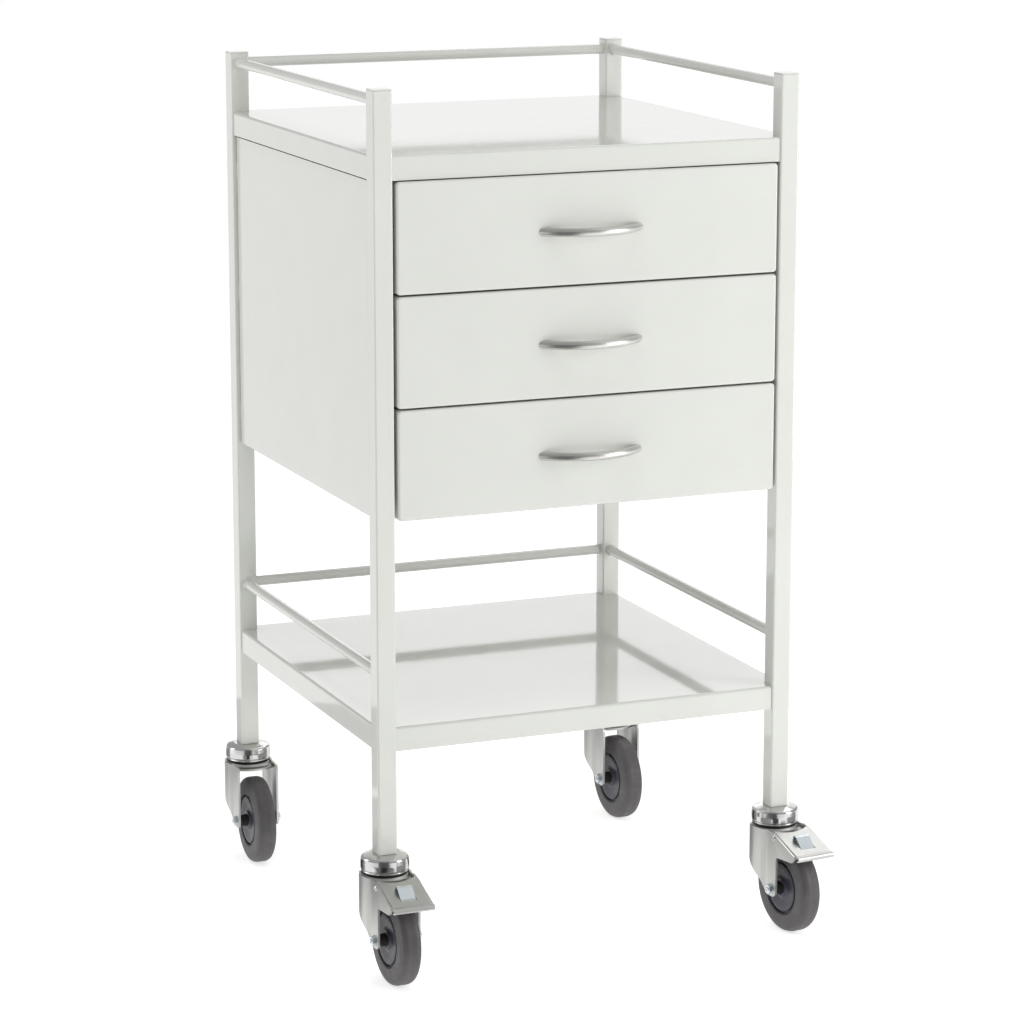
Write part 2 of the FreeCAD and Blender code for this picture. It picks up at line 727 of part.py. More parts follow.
def save_swivel_heads():
    save("caster_stems", at_posts(make_stem()))
    save("swivel_caps", at_posts(make_swivel_cap()))
    save("swivel_seals", at_posts(ring(SEAL_IN, SEAL_OUT, SEAL_BOTTOM, CAP_BOTTOM)))
    bearings = []
    for solid in make_bearing():
        bearings += at_posts(solid)
    save("swivel_bearings", bearings)


def save_casters():
    for name, (x, y, turn) in CASTERS.items():
        braked = name in BRAKED
        pieces = {
            "fork": [make_fork(braked)],
            "axle": make_axle(),
            "tyre": [make_tyre()],
            "hub": [make_hub()],
        }
        if braked:
            pieces["brake_pedal"] = [make_pedal()]
            pieces["pedal_pivots"] = make_pedal_pivots()
        for piece, solids in pieces.items():
            placed = [moved(turned(solid, turn), x * POST_X, y * POST_Y) for solid in solids]
            save(piece + "_" + name, placed)


os.makedirs("parts", exist_ok=True)
save_frame()
save_drawers()
save_swivel_heads()
save_casters()
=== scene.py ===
import json
import math

import bmesh
import bpy
from mathutils import Matrix, Vector


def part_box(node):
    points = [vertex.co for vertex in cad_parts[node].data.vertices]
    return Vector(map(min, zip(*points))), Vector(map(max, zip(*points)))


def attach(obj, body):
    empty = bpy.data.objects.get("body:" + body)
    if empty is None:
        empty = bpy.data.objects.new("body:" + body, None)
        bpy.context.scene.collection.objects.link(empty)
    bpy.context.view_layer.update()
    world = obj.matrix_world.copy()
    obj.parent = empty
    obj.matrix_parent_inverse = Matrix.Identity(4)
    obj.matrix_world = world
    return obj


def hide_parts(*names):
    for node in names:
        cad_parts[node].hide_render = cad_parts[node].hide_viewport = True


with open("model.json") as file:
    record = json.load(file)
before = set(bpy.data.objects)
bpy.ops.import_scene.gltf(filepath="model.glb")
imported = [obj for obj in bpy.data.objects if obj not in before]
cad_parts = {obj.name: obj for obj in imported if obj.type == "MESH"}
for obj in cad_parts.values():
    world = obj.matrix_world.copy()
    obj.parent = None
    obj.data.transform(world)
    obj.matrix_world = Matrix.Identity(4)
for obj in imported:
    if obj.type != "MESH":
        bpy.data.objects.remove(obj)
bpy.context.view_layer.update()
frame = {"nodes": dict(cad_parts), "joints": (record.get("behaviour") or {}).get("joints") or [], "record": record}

# Shapes are drawn in millimetres and scaled to metres when a piece is made.
MM = 0.001

# Points closer than this are one point, and faces within this angle are one flat face.
SAME_PLACE = 0.002
FLAT = math.radians(0.5)

# Edges that turn more than this are sharp, and only they are rounded.
SHARP = math.radians(32)

# Steps round a corner of an outline, and across a rounded edge.
ROUND_STEPS = 6
SOFT_STEPS = 2
FINE_SOFT_STEPS = 3

# Steps round a turned shape.
TYRE_STEPS = 128
LARGE_STEPS = 96
SMALL_STEPS = 48
RIVET_STEPS = 40
PIN_STEPS = 32

# Steps across a bent strip.
STRIP_STEPS = 8

# A turned profile that closes on its axis stops at this radius.
AXIS_GAP = 0.05

BODIES = frame["record"]["behaviour"]["bodies"]
JOINTS = {joint["name"]: joint for joint in frame["joints"]}
SLOTS = {part["node"]: part["material_slot"] for part in frame["record"]["subparts"]}
BODY_OF = {node: body for body, nodes in BODIES.items() for node in nodes}
CASTERS = ("front_left", "front_right", "back_left", "back_right")
BRAKED = ("front_left", "front_right")
DRAWERS = ("top", "middle", "bottom")

# The top edges of the case's panels are lowered by this, to open the dark gap under the top tray's flange.
PANELS = ("side_panel_left", "side_panel_right", "back_panel")
PANEL_TRIM = 0.9


# ---- materials ----

# Spans of a noise's value, and of Pointiness on rubbed metal edges and on moulded edges.
NOISE_SPAN = (0.3, 0.7)
RUBBED_EDGE = (0.47, 0.56)
MOULDED_EDGE = (0.5, 0.62)


def new_material(name, colour, metallic, roughness):
    material = bpy.data.materials.new(name)
    material.use_nodes = True
    tree = material.node_tree
    shader = tree.nodes["Principled BSDF"]
    shader.inputs["Base Color"].default_value = (*colour, 1)
    shader.inputs["Metallic"].default_value = metallic
    shader.inputs["Roughness"].default_value = roughness
    return material, tree, shader


def noise(tree, size, detail, stretch=(1, 1, 1)):
    """Noise with features of a size in millimetres, longer along an axis where stretch is over 1."""
    place = tree.nodes.new("ShaderNodeTexCoord")
    mapping = tree.nodes.new("ShaderNodeMapping")
    mapping.inputs["Scale"].default_value = [1 / (size * MM * s) for s in stretch]
    texture = tree.nodes.new("ShaderNodeTexNoise")
    texture.inputs["Scale"].default_value = 1.0
    texture.inputs["Detail"].default_value = detail
    tree.links.new(place.outputs["Object"], mapping.inputs["Vector"])
    tree.links.new(mapping.outputs["Vector"], texture.inputs["Vector"])
    return texture.outputs["Fac"]


def spread(tree, value, low, high, span=NOISE_SPAN):
    """Maps a span of a value to the range from low to high."""
    node = tree.nodes.new("ShaderNodeMapRange")
    node.inputs["From Min"].default_value, node.inputs["From Max"].default_value = span
    node.inputs["To Min"].default_value = low
    node.inputs["To Max"].default_value = high
    tree.links.new(value, node.inputs["Value"])
    return node.outputs["Result"]


def edge_mask(tree, span):
    """0 on flat and hollow places and 1 on outer edges."""
    geometry = tree.nodes.new("ShaderNodeNewGeometry")
    return spread(tree, geometry.outputs["Pointiness"], 0.0, 1.0, span)


def mix_colours(tree, factor, first, second):
    """Mixes two colours, each a tuple or a socket."""
    node = tree.nodes.new("ShaderNodeMix")
    node.data_type = "RGBA"
    tree.links.new(factor, node.inputs["Factor"])
    for socket, colour in (("A", first), ("B", second)):
        target = [s for s in node.inputs if s.name == socket and s.type == "RGBA"][0]
        if isinstance(colour, tuple):
            target.default_value = (*colour, 1)
        else:
            tree.links.new(colour, target)
    return [s for s in node.outputs if s.type == "RGBA"][0]


def bump(tree, value, depth, before=None):
    """Bump of a depth in millimetres, added to the one before."""
    node = tree.nodes.new("ShaderNodeBump")
    node.inputs["Distance"].default_value = depth * MM
    node.inputs["Strength"].default_value = 1.0
    tree.links.new(value, node.inputs["Height"])
    if before is not None:
        tree.links.new(before, node.inputs["Normal"])
    return node.outputs["Normal"]


def powder_coat(name, colour, roughness, peel):
    """Baked powder coat: faint orange peel, slightly uneven gloss and a slightly uneven tone."""
    material, tree, shader = new_material(name, colour, 0.0, roughness)
    shade = tuple(0.975 * c for c in colour)
    tone = mix_colours(tree, spread(tree, noise(tree, 60, detail=3), 0, 1), shade, colour)
    tree.links.new(tone, shader.inputs["Base Color"])
    gloss = spread(tree, noise(tree, 9, detail=3), 0.7 * roughness, 1.5 * roughness)
    tree.links.new(gloss, shader.inputs["Roughness"])
    waves = bump(tree, noise(tree, 5, detail=1), peel)
    grain = bump(tree, noise(tree, 1.1, detail=1), 0.15 * peel, waves)
    tree.links.new(grain, shader.inputs["Normal"])
    shader.inputs["Coat Weight"].default_value = 0.25
    shader.inputs["Coat Roughness"].default_value = 0.04
    return material


def plated(name, colour, roughness, lines, grain=(1, 1, 1), cloud=0.05, worn=0.1):
    """Plated steel: cloudy tone, uneven gloss, brighter rubbed edges and fine lines along the grain."""
    material, tree, shader = new_material(name, colour, 1.0, roughness)
    dull = tuple((1 - 2 * cloud) * c for c in colour)
    bright = tuple(min(1.0, c + worn) for c in colour)
    tone = mix_colours(tree, spread(tree, noise(tree, 7, detail=4), 0, 1), dull, colour)
    tone = mix_colours(tree, edge_mask(tree, RUBBED_EDGE), tone, bright)
    tree.links.new(tone, shader.inputs["Base Color"])
    gloss = spread(tree, noise(tree, 2.2, detail=4, stretch=grain), 0.93 * roughness, 1.08 * roughness)
    tree.links.new(gloss, shader.inputs["Roughness"])
    skin = bump(tree, noise(tree, 0.45, detail=2, stretch=grain), lines)
    tree.links.new(skin, shader.inputs["Normal"])
    return material


def moulded(name, colour, roughness, size, depth, dust=0.25):
    """Moulded rubber or plastic: skin with fine pits of a size, uneven gloss and a little dust."""
    material, tree, shader = new_material(name, colour, 0.0, roughness)
    pale = tuple(c * (1 + dust) for c in colour)
    tone = mix_colours(tree, spread(tree, noise(tree, 14, detail=4), 0, 1), colour, pale)
    rubbed = tuple(1.5 * c for c in colour)
    tone = mix_colours(tree, edge_mask(tree, MOULDED_EDGE), tone, rubbed)
    tree.links.new(tone, shader.inputs["Base Color"])
    gloss = spread(tree, noise(tree, 4, detail=3), 0.85 * roughness, 1.2 * roughness)
    tree.links.new(gloss, shader.inputs["Roughness"])
    pits = bump(tree, noise(tree, size, detail=3), depth)
    skin = bump(tree, noise(tree, 6 * size, detail=2), 2 * depth, pits)
    tree.links.new(skin, shader.inputs["Normal"])
    return material


def make_materials():
    """The material of each slot."""
    return {
        "white_powder_coat": powder_coat(
            "white_powder_coat", (0.675, 0.685, 0.645), roughness=0.07, peel=0.012),
        "grey_drawer_paint": powder_coat(
            "grey_drawer_paint", (0.66, 0.66, 0.64), roughness=0.34, peel=0.02),
        "satin_nickel": plated(
            "satin_nickel", (0.58, 0.575, 0.55), roughness=0.31, lines=0.0005, grain=(12, 1, 1),
            cloud=0.03, worn=0.05),
        "fork_zinc": plated(
            "fork_zinc", (0.47, 0.47, 0.455), roughness=0.42, lines=0.0004, grain=(1, 1, 3),
            cloud=0.03, worn=0.14),
        "zinc_steel": plated(
            "zinc_steel", (0.60, 0.66, 0.69), roughness=0.22, lines=0.0008),
        "chrome": plated(
            "chrome", (0.60, 0.60, 0.595), roughness=0.16, lines=0.0001, cloud=0.01, worn=0.02),
        "grey_rubber": moulded(
            "grey_rubber", (0.069, 0.064, 0.066), roughness=0.52, size=0.6, depth=0.02),
        "hub_plastic": moulded(
            "hub_plastic", (0.041, 0.040, 0.056), roughness=0.42, size=0.9, depth=0.012, dust=0.15),
        "black_rubber": moulded(
            "black_rubber", (0.012, 0.012, 0.012), roughness=0.55, size=0.6, depth=0.02),
    }


# ---- making pieces ----

def run_modifiers(holder):
    """The holder's mesh with its modifiers applied, with the holder removed."""
    graph = bpy.context.evaluated_depsgraph_get()
    mesh = bpy.data.meshes.new_from_object(holder.evaluated_get(graph))
    old = holder.data
    bpy.data.objects.remove(holder)
    bpy.data.meshes.remove(old)
    return mesh


def add_piece(name, shape, body, slot, replaced=(), place=None, sheet=0.0, side=1, soft=0.0,
              steps=SOFT_STEPS):
    """Makes a piece from a shape in millimetres and frees the shape.

    A sheet gets its thickness behind its faces, or to both sides where side is 0. Sharp edges are rounded
    by soft. Place leads from the shape's frame to the trolley's.
    """
    bmesh.ops.recalc_face_normals(shape, faces=shape.faces[:])
    mesh = bpy.data.meshes.new(name)
    shape.to_mesh(mesh)
    shape.free()
    mesh.polygons.foreach_set("use_smooth", [True] * len(mesh.polygons))
    holder = bpy.data.objects.new(name, mesh)
    bpy.context.scene.collection.objects.link(holder)
    if sheet:
        solid = holder.modifiers.new("sheet", "SOLIDIFY")
        solid.thickness = sheet
        solid.offset = -side
        solid.use_even_offset = True
    if soft:
        bevel = holder.modifiers.new("soft", "BEVEL")
        bevel.width = soft
        bevel.segments = steps
        bevel.limit_method = "ANGLE"
        bevel.angle_limit = SHARP
    even = holder.modifiers.new("even", "WEIGHTED_NORMAL")
    even.weight = 100
    even.keep_sharp = True
    mesh = run_modifiers(holder)
    scale = Matrix.Scale(MM, 4)
    mesh.transform(scale if place is None else place @ scale)
    mesh.name = name
    mesh.materials.clear()
    mesh.materials.append(MATERIALS[slot])
    piece = bpy.data.objects.new(name, mesh)
    bpy.context.scene.collection.objects.link(piece)
    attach(piece, body)
    if replaced:
        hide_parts(*replaced)


def soften(node, soft):
    """Stands for a CAD node: the same shape with its sharp edges rounded and a panel's top lowered."""
    shape = bmesh.new()
    shape.from_mesh(frame["nodes"][node].data)
    shape.transform(Matrix.Scale(1 / MM, 4))
    bmesh.ops.remove_doubles(shape, verts=shape.verts[:], dist=SAME_PLACE)
    bmesh.ops.dissolve_limit(shape, angle_limit=FLAT, verts=shape.verts[:], edges=shape.edges[:])
    if node in PANELS:
        top = max(v.co.z for v in shape.verts)
        for v in shape.verts:
            if v.co.z > top - SAME_PLACE:
                v.co.z -= PANEL_TRIM
    add_piece(node + "_finished", shape, BODY_OF[node], SLOTS[node], [node], soft=soft)


def rounded(corners, closed=True, steps=ROUND_STEPS):
    """Outline through (x, y, radius) corners, each rounded with an arc that is tangent to its sides."""
    count = len(corners)
    points = []
    for index, (x, y, radius) in enumerate(corners):
        here = Vector((x, y))
        if radius == 0 or (not closed and index in (0, count - 1)):
            points.append(here)
            continue
        before = (Vector(corners[index - 1][:2]) - here).normalized()
        after = (Vector(corners[(index + 1) % count][:2]) - here).normalized()
        half = before.angle(after) / 2
        centre = here + (before + after).normalized() * radius / math.sin(half)
        start = here + before * radius / math.tan(half) - centre
        turn = start.angle_signed(here + after * radius / math.tan(half) - centre)
        for step in range(steps + 1):
            spoke = start.copy()
            spoke.rotate(Matrix.Rotation(-turn * step / steps, 2))
            points.append(centre + spoke)
    return points


def mirrored(corners, side):
    """Rounded profile of a turned shape, on one side (1 or -1) of the middle plane."""
    return [(p.x, side * p.y) for p in rounded(corners)]


def lathe(profile, axis, centre, steps, shape=None):
    """Closed ring of revolution from (radius, place along the axis) points."""
    shape = shape or bmesh.new()
    rings = []
    for step in range(steps):
        angle = 2 * math.pi * step / steps
        c, s = math.cos(angle), math.sin(angle)
        ring = []
        for radius, along in profile:
            point = [radius * c, radius * s]
            point.insert("XYZ".index(axis), along)
            ring.append(shape.verts.new(Vector(point) + Vector(centre)))
        rings.append(ring)
    for step in range(steps):
        low, high = rings[step], rings[(step + 1) % steps]
        for index in range(len(profile)):
            after = (index + 1) % len(profile)
            shape.faces.new((low[index], low[after], high[after], high[index]))
    return shape


def prism(outline, x0, x1, shape=None):
    """Solid across X from an outline of (reach, height), where reach runs towards -Y."""
    shape = shape or bmesh.new()
    ends = []
    for x in (x0, x1):
        ends.append([shape.verts.new((x, -reach, z)) for reach, z in outline])
        shape.faces.new(ends[-1])
    for index in range(len(outline)):
        after = (index + 1) % len(outline)
        shape.faces.new((ends[0][index], ends[0][after], ends[1][after], ends[1][index]))
    return shape


def grid(rows, skip=lambda row, column: False):
    """Sheet of quads through rows of points, open where skip says."""
    shape = bmesh.new()
    verts = [[shape.verts.new(point) for point in row] for row in rows]
    for r in range(len(rows) - 1):
        for c in range(len(rows[0]) - 1):
            if not skip(r, c):
                shape.faces.new((verts[r][c], verts[r][c + 1], verts[r + 1][c + 1], verts[r + 1][c]))
    loose = [v for v in shape.verts if not v.link_faces]
    bmesh.ops.delete(shape, geom=loose, context="VERTS")
    return shape


def strip(path, half):
    """Sheet across X along a path of (reach, height) points."""
    xs = [half * (2 * step / STRIP_STEPS - 1) for step in range(STRIP_STEPS + 1)]
    return grid([[(x, -reach, z) for x in xs] for reach, z in path])


# ---- casters, in each caster's own frame: X across, -Y to the trailing side, Z up from the floor ----

TRAIL = 32.0
WHEEL_RADIUS = 52.0
AXLE_CENTRE = (0, -TRAIL, WHEEL_RADIUS)

# Corners of the turned parts: (radius, height or place across, rounding).
CAP = [
    (25.5, 122.0, 0.3), (26.6, 122.0, 0.5), (26.6, 122.9, 0.3), (26.2, 123.5, 0.3), (26.2, 124.0, 0.2),
    (27.3, 125.5, 1.2), (27.25, 131.0, 14.0), (26.3, 138.3, 3.4), (22.0, 139.6, 2.4), (17.0, 141.0, 0.8),
    (5.2, 141.0, 0), (5.2, 139.4, 0), (16.8, 139.3, 0.5), (24.9, 134.5, 1.5),
]
SEAL = [
    (23.5, 119.3, 0.3), (25.6, 119.3, 0.5), (26.0, 120.4, 0.3), (25.6, 120.7, 0.2), (26.5, 121.3, 0.3),
    (26.5, 122.0, 0.1), (23.5, 122.0, 0.1),
]
TYRE = [
    (31.45, 11.3, 0.4), (33.0, 12.0, 1.2), (43.0, 12.0, 9.0), (50.2, 10.6, 5.5), (WHEEL_RADIUS, 5.2, 7.0),
    (WHEEL_RADIUS, 0.6, 0.5), (51.75, 0.0, 0.4),
]
HUB = [
    (31.4, 11.2, 0.3), (30.7, 11.5, 0.2), (30.6, 8.5, 0.4), (28.2, 8.5, 0.4), (28.1, 11.4, 0.8),
    (24.0, 11.3, 6.0), (14.5, 9.9, 5.0), (11.4, 10.3, 1.0), (10.6, 12.0, 0.7), (4.05, 12.0, 0.2),
]

# Fork: the legs' outer faces are round behind the swivel axis and turn flat towards the wheel. To be
# bent, a leg is cut into strips of a width, from behind the axis to where it is flat.
FORK_SHEET = 2.5
FORK_RADIUS = 28.8
FORK_FLAT = 25.2
FLAT_FROM = 27.0
FIRST_CUT = -15.0
CUT_STEP = 1.5
LEG_SOFT = 0.95

# Corners of a leg, up its back, along its front or round the brake's wing, and back round its foot:
# (reach towards the trailing side, height, rounding).
LEG_REAR = [(-16.0, 80.0, 8.0), (-16.0, 119.0, 2.0), (16.0, 119.0, 8.0)]
LEG_PLAIN = [(24.0, 121.0, 5.0), (42.5, 120.0, 6.0)]
LEG_WING = [
    (26.0, 121.0, 4.0), (36.0, 119.0, 8.0), (82.0, 102.4, 2.0), (76.0, 94.6, 3.5), (42.5, 92.5, 5.0),
]
LEG_FOOT = [(42.5, 47.8, 3.0), (38.2, 44.0, 4.0), (24.0, 44.0, 7.0), (13.5, 58.0, 12.0)]

# Crown: the bridge between the legs, with a boss that is flat up to its head and falls to its foot.
CROWN_Z = 116.0
CROWN_BACK = 27.4
CROWN_FRONT = 36.0
CROWN_STEPS = 96
CROWN_SOFT = 0.5
STEM_HOLE = 5.3
BOSS_RISE = 3.0
BOSS_HEAD = 24.6
BOSS_FOOT = 28.2
BOSS_RINGS = (12.0, BOSS_HEAD - 1.2, BOSS_HEAD, BOSS_HEAD + 1.2, BOSS_FOOT - 1.4, BOSS_FOOT)

# Keeps the way to the legs finite straight ahead and straight behind.
LEAST_ACROSS = 1e-6


def caster_place(name):
    """From a caster's own frame to the trolley's."""
    swivel = Vector(JOINTS[f"caster_{name}_swivel"]["pos_m"])
    across = Vector(JOINTS[f"wheel_{name}_spin"]["axis"])
    back = Vector((-across.y, across.x, 0))
    place = Matrix((across, back, Vector((0, 0, 1)))).transposed().to_4x4()
    place.translation = (swivel.x, swivel.y, 0)
    return place


def fork_half_width(reach):
    """Half-width of the fork's outer face, round at the back and flat towards the wheel."""
    if reach <= 0:
        return math.sqrt(FORK_RADIUS ** 2 - reach ** 2)
    share = min(1.0, reach / FLAT_FROM)
    return FORK_FLAT + (FORK_RADIUS - FORK_FLAT) * (0.5 + 0.5 * math.cos(math.pi * share))


def make_leg(outline, side):
    """Outer face of a leg, bent round the swivel, as a mesh whose faces point outwards."""
    leg = bmesh.new()
    leg.faces.new([leg.verts.new((0, -reach, z)) for reach, z in outline])
    cut = FIRST_CUT
    while cut < FLAT_FROM + CUT_STEP:
        bmesh.ops.bisect_plane(leg, geom=leg.verts[:] + leg.edges[:] + leg.faces[:],
                               plane_co=(0, -cut, 0), plane_no=(0, 1, 0))
        cut += CUT_STEP
    for v in leg.verts:
        v.co.x = side * fork_half_width(-v.co.y)
    bmesh.ops.recalc_face_normals(leg, faces=leg.faces[:])
    outward = sum(f.normal.x * f.calc_area() for f in leg.faces)
    if outward * side < 0:
        bmesh.ops.reverse_faces(leg, faces=leg.faces[:])
    mesh = bpy.data.meshes.new("leg")
    leg.to_mesh(mesh)
    leg.free()
    return mesh


def make_legs(outline):
    """Both legs. Their faces keep the way they point, so that both get their thickness inwards."""
    legs = bmesh.new()
    for side in (-1, 1):
        leg = make_leg(outline, side)
        legs.from_mesh(leg)
        bpy.data.meshes.remove(leg)
    mesh = bpy.data.meshes.new("legs")
    legs.to_mesh(mesh)
    legs.free()
    holder = bpy.data.objects.new("legs", mesh)
    bpy.context.scene.collection.objects.link(holder)
    solid = holder.modifiers.new("sheet", "SOLIDIFY")
    solid.thickness = FORK_SHEET
    solid.offset = -1
    thick_mesh = run_modifiers(holder)
    thick = bmesh.new()
    thick.from_mesh(thick_mesh)
    bpy.data.meshes.remove(thick_mesh)
    return thick


def make_crown():
    """Pressed bridge between the legs, round at the back, with a raised boss for the bearing."""
    rows = []
    for step in range(CROWN_STEPS + 1):
        angle = 2 * math.pi * step / CROWN_STEPS
        forward, across = math.cos(angle), math.sin(angle)
        wall = (FORK_FLAT - FORK_SHEET / 2) / max(abs(across), LEAST_ACROSS)
        edge = min(CROWN_FRONT, wall) if forward > 0 else CROWN_BACK
        edge = max(edge, CROWN_BACK)
        row = []
        for radius in (STEM_HOLE, *BOSS_RINGS, edge):
            reach = min(radius, edge)
            share = min(1.0, max(0.0, (reach - BOSS_HEAD) / (BOSS_FOOT - BOSS_HEAD)))
            z = CROWN_Z + BOSS_RISE * (0.5 + 0.5 * math.cos(math.pi * share))
            row.append((reach * across, -reach * forward, z))
        rows.append(row)
    shape = grid(rows)
    bmesh.ops.remove_doubles(shape, verts=shape.verts[:], dist=SAME_PLACE)
    bmesh.ops.dissolve_degenerate(shape, edges=shape.edges[:], dist=SAME_PLACE)
    return shape


def add_fork(name, place):
    outline = rounded(LEG_REAR + (LEG_WING if name in BRAKED else LEG_PLAIN) + LEG_FOOT)
    body = "caster_" + name
    add_piece("fork_legs_" + name, make_legs(outline), body, "fork_zinc", ["fork_" + name], place,
              soft=LEG_SOFT, steps=FINE_SOFT_STEPS)
    add_piece("fork_crown_" + name, make_crown(), body, "fork_zinc", place=place, sheet=FORK_SHEET,
              soft=CROWN_SOFT)


def whole_profile(half):
    """Profile across the wheel from its right half, as (radius, across) points."""
    right = rounded(half, closed=False)
    return [(p.x, p.y) for p in right] + [(p.x, -p.y) for p in reversed(right) if abs(p.y) > SAME_PLACE]


def add_wheel(name, place):
    body = "wheel_" + name
    tyre = lathe(whole_profile(TYRE), "X", AXLE_CENTRE, TYRE_STEPS)
    add_piece("tyre_tread_" + name, tyre, body, "grey_rubber", ["tyre_" + name], place)
    hub = lathe(whole_profile(HUB), "X", AXLE_CENTRE, LARGE_STEPS)
    add_piece("hub_face_" + name, hub, body, "hub_plastic", ["hub_" + name], place)


# Axle: corners as (radius, place across, rounding), and the bolt's shank between its ends.
WASHER = [(4.0, 25.25, 0), (6.4, 25.25, 0.2), (6.4, 26.2, 0.3), (4.0, 26.2, 0)]
BOLT_END = [
    (AXIS_GAP, 26.0, 0), (3.1, 26.0, 0), (3.1, 29.9, 0.5), (1.7, 30.15, 0.4), (1.4, 29.6, 0.2),
    (AXIS_GAP, 29.6, 0),
]
SPACER = [(4.2, 12.4, 0.2), (7.0, 12.4, 0.4), (7.0, 22.6, 0.4), (4.2, 22.6, 0.2)]
SHANK_RADIUS = 3.95
SHANK_HALF = 26.0
NUT_RADIUS = 5.9
NUT_FACES = (26.2, 29.2)
NUT_SIDES = 6
NUT_TURN = 0.26
AXLE_SOFT = 0.45


def nut_outline(turn):
    """Six-sided outline round the axle, turned by an angle, as (reach, height) points."""
    angles = [turn + 2 * math.pi * corner / NUT_SIDES for corner in range(NUT_SIDES)]
    return [(TRAIL + NUT_RADIUS * math.cos(a), WHEEL_RADIUS + NUT_RADIUS * math.sin(a)) for a in angles]


def shank_profile(radius, start, end):
    return [(AXIS_GAP, start), (radius, start), (radius, end), (AXIS_GAP, end)]


def add_axle(name, place):
    """Bolt through the wheel with a washer and a six-sided nut or head at each side."""
    body = "caster_" + name
    bolt = bmesh.new()
    for side in (-1, 1):
        for part in (WASHER, BOLT_END):
            lathe(mirrored(part, side), "X", AXLE_CENTRE, SMALL_STEPS, bolt)
        prism(nut_outline(side * NUT_TURN), side * NUT_FACES[0], side * NUT_FACES[1], bolt)
    lathe(shank_profile(SHANK_RADIUS, -SHANK_HALF, SHANK_HALF), "X", AXLE_CENTRE, PIN_STEPS, bolt)
    add_piece("axle_bolt_" + name, bolt, body, "zinc_steel", ["axle_" + name], place, soft=AXLE_SOFT,
              steps=FINE_SOFT_STEPS)
    # The spacers are near-black. That is partly their own black plastic and partly painted shade for the narrow,
    # shaded gap between the leg and the hub.
    spacers_and_gap_shade = bmesh.new()
    for side in (-1, 1):
        lathe(mirrored(SPACER, side), "X", AXLE_CENTRE, SMALL_STEPS, spacers_and_gap_shade)
    add_piece("axle_spacers_and_gap_shade_" + name, spacers_and_gap_shade, body, "black_rubber", place=place)


# ---- foot brakes ----

# Tread plate: it slopes down from its back end to its front end, given as (reach, height).
PLATE_BACK = (33.0, 120.7)
PLATE_FRONT = (83.0, 103.5)
PEDAL_HALF = 22.45
PEDAL_SHEET = 1.3
PEDAL_BEND = 1.1
BEND_STEPS = 4
PEDAL_NOTCH = 40.0
WINDOW = (52.0, 72.5)
WINDOW_HALF = 9.5
WINDOW_MARGIN = 4.0

# Rows of the plate: shares of the way from the bowed back edge to the window, then reaches.
BACK_SHARES = (0.0, 0.2, 0.4, 0.6, 0.8)
FRONT_REACHES = (WINDOW[0], 56.0, 62.0, 68.0, WINDOW[1], 76.0, 80.0, PLATE_FRONT[0])

# Ears: their depth under the plate's top by reach, and the shares of it where their points lie.
EAR_DEPTH = [(33.0, 5.0), (36.0, 9.0), (40.0, 9.2), (44.0, 6.6), (70.0, 5.0), (83.0, 3.2)]
EAR_SHARES = (1.0, 0.65, 0.3)

# Lip, tab and shoe: paths and outline across the pedal, as (reach, height, rounding).
LIP = [(81.0, 103.2, 0), (87.9, 104.0, 2.3), (88.4, 98.8, 2.0), (84.6, 98.8, 0)]
LIP_STEPS = 8
LIP_HALF = 24.0
LIP_SHEET = 1.8
TAB = [(72.2, 106.0, 0), (69.0, 107.8, 3.0), (59.0, 117.9, 1.4), (53.2, 118.4, 1.2), (53.2, 112.0, 0)]
TAB_HALF = 8.8
TAB_SHEET = 1.2
TAB_SOFT = 0.35
SHOE = [
    (50.5, 113.0, 0), (70.5, 106.0, 0), (70.5, 98.4, 0), (66.0, 100.6, 0), (61.0, 102.3, 0),
    (55.5, 103.7, 0), (50.5, 104.5, 0),
]
SHOE_HALF = 8.0
PEDAL_SOFT = 0.5

# Rivets: corners of a head as (radius, place across, rounding), and the shank from ear to head.
RIVET = [
    (AXIS_GAP, 25.2, 0), (3.2, 25.2, 0.2), (3.1, 26.0, 0.5), (2.2, 26.4, 0.3), (1.2, 25.9, 0.4),
    (AXIS_GAP, 25.7, 0),
]
RIVET_SHANK = 1.95
RIVET_ENDS = (20.4, 25.3)


def plate_height(reach):
    """Height of the tread plate's top at a reach."""
    (back, back_z), (front, front_z) = PLATE_BACK, PLATE_FRONT
    return back_z - (back_z - front_z) / (front - back) * (reach - back)


def ear_depth(reach):
    """Depth of the ears under the plate's top at a reach."""
    for (r0, d0), (r1, d1) in zip(EAR_DEPTH, EAR_DEPTH[1:]):
        if reach <= r1:
            return d0 + (d1 - d0) * (reach - r0) / (r1 - r0)
    return EAR_DEPTH[-1][1]


def bend_drop(x):
    """How far the rounded bend at the plate's side has dropped at a place across."""
    over = max(0.0, abs(x) - (PEDAL_HALF - PEDAL_BEND)) / PEDAL_BEND
    return PEDAL_BEND * (1 - math.sqrt(max(0.0, 1 - over ** 2)))


def plate_columns():
    """Places across the plate, each with its share of the ear's depth, or None on the plate itself."""
    ear = [(PEDAL_HALF, share) for share in EAR_SHARES]
    turns = [math.pi / 2 * step / BEND_STEPS for step in range(BEND_STEPS)]
    bend = [(PEDAL_HALF - PEDAL_BEND * (1 - math.sin(turn)), None) for turn in turns]
    middle = (0.0, WINDOW_HALF / 2, WINDOW_HALF, WINDOW_HALF + WINDOW_MARGIN)
    right = [(x, None) for x in middle] + bend + ear[::-1]
    return [(-x, share) for x, share in right[:0:-1]] + right


